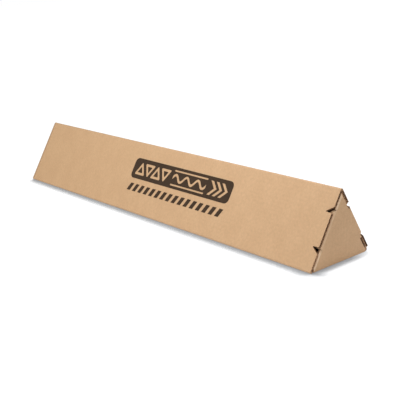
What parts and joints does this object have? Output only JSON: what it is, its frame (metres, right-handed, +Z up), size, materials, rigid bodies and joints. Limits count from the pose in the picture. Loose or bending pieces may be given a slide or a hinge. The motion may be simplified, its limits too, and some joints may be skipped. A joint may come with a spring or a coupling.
{
  "type": "cardboard mailing tube",
  "caption": "Long triangular mailing tube folded from corrugated board, with a hinged triangular flap at each end that tucks in behind notched walls.",
  "frame": {"origin": "on the surface that the tube lies on, under the middle of its length and width", "axes": "+X along the tube to the notched near end, -Y towards the printed front panel, +Z up"},
  "size_m": [0.6096, 0.1032, 0.0871],
  "materials": {
    "kraft_board": "matte brown kraft liner with a faint fibre mottle; raw edges show the dark open flutes",
    "brown_ink": "flat matte dark brown ink printed straight on the board"
  },
  "bodies": {
    "tube": {"tube_wrap": "kraft_board", "print_bar": "brown_ink", "print_stripes": "brown_ink"},
    "near_flap": {"near_end_flap": "kraft_board"},
    "far_flap": {"far_end_flap": "kraft_board"}
  },
  "joints": [
    {"name": "near_flap_hinge", "type": "hinge", "parent": "tube", "child": "near_flap", "pos_m": [0.3032, 0, 0.0016], "axis": [0, 1, 0], "range_deg": [0, 90]},
    {"name": "far_flap_hinge", "type": "hinge", "parent": "tube", "child": "far_flap", "pos_m": [-0.3032, 0, 0.0016], "axis": [0, -1, 0], "range_deg": [0, 90]}
  ]
}
